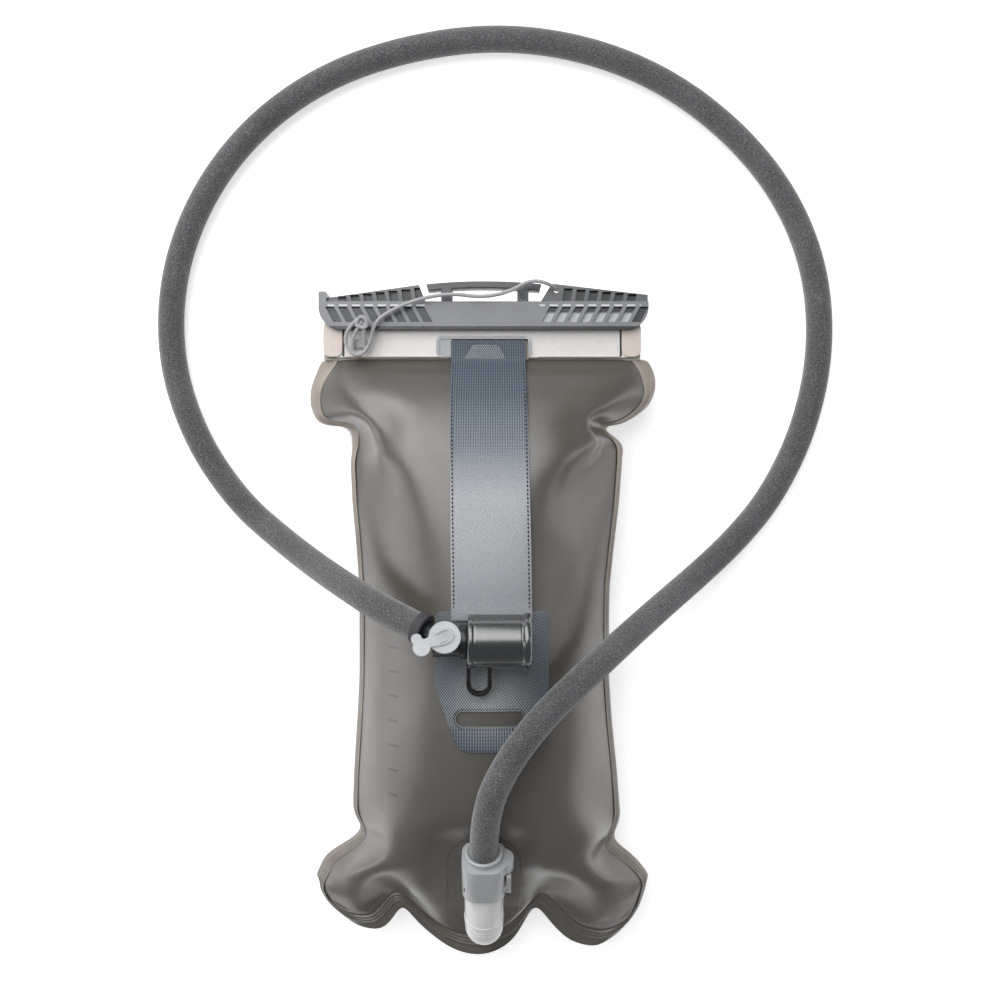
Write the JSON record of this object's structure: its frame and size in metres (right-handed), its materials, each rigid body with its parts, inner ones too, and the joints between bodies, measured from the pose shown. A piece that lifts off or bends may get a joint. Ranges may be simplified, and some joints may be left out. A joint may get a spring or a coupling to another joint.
{
  "type": "hydration bladder",
  "caption": "Soft drinking-water reservoir with a slide-lock top, carrying strap, insulated hose in a loop, quick-disconnect outlet and covered shut-off bite valve.",
  "frame": {"origin": "on the surface that the bladder lies on, under the middle of the bladder and its closure, without the hose", "axes": "+X across the bladder, +Y along it from the foot to the slide closure, +Z out of the front panel"},
  "size_m": [0.3793, 0.5128, 0.1056],
  "materials": {
    "film": "smooth satin translucent film",
    "band": "stiff satin film",
    "clear": "clear moulded plastic",
    "webbing": "woven webbing, navy to silver",
    "webbing_patch": "open speckled weave",
    "grey_plastic": "fine satin moulding",
    "spring": "stainless wire",
    "seal": "smooth rubber",
    "tube": "soft clear tube",
    "knit": "fine charcoal knit",
    "black_plastic": "polished moulding",
    "black_rubber": "smooth soft rubber",
    "mouthpiece": "soft silicone",
    "dark_plastic": "satin moulding",
    "cord": "thin braided cord"
  },
  "bodies": {
    "bladder": {"back_panel": "film", "front_panel": "film", "fold_band": "band", "fold_rod": "band", "strap_window_rim": "clear", "handle_strap": "webbing", "strap_patch": "webbing_patch", "tether_anchor": "clear", "port_patch": "film", "port_body": "clear", "port_spring": "spring", "port_o_ring": "seal", "connector_body": "grey_plastic", "release_spring": "spring", "tube_plug": "grey_plastic", "inner_tube": "tube", "tube_sleeve": "knit", "sleeve_ferrule": "black_plastic", "valve_body": "black_plastic", "valve_o_rings": "seal", "bite_valve": "mouthpiece", "tether_cord": "cord"},
    "slider": {"slide_closure": "dark_plastic", "hang_bar": "dark_plastic", "hang_bar_pins": "spring"},
    "lever": {"shutoff_lever": "clear"},
    "cover": {"dust_cover": "black_plastic", "cover_pull_loop": "black_rubber"},
    "button": {"release_button": "grey_plastic"},
    "plunger": {"port_poppet": "grey_plastic"}
  },
  "joints": [
    {"name": "slider_pull", "type": "slide", "parent": "bladder", "child": "slider", "axis": [-1, 0, 0], "range_m": [0, 0.178], "deforming": ["tether_cord"]},
    {"name": "lever_turn", "type": "hinge", "parent": "bladder", "child": "lever", "pos_m": [-0.017, -0.0043, 0.0908], "axis": [0, 0.309, 0.9511], "range_deg": [0, 90]},
    {"name": "cover_pull", "type": "slide", "parent": "bladder", "child": "cover", "axis": [1, 0, 0], "range_m": [0, 0.0275]},
    {"name": "button_press", "type": "slide", "parent": "bladder", "child": "button", "axis": [-1, 0, 0], "range_m": [0, 0.0016], "stiffness_N_per_m": 600, "springref_m": -0.001, "deforming": ["release_spring"]},
    {"name": "plunger_slide", "type": "slide", "parent": "bladder", "child": "plunger", "axis": [0, -0.8829, -0.4695], "range_m": [0, 0.0015], "stiffness_N_per_m": 300, "springref_m": -0.001, "deforming": ["port_spring"]}
  ]
}
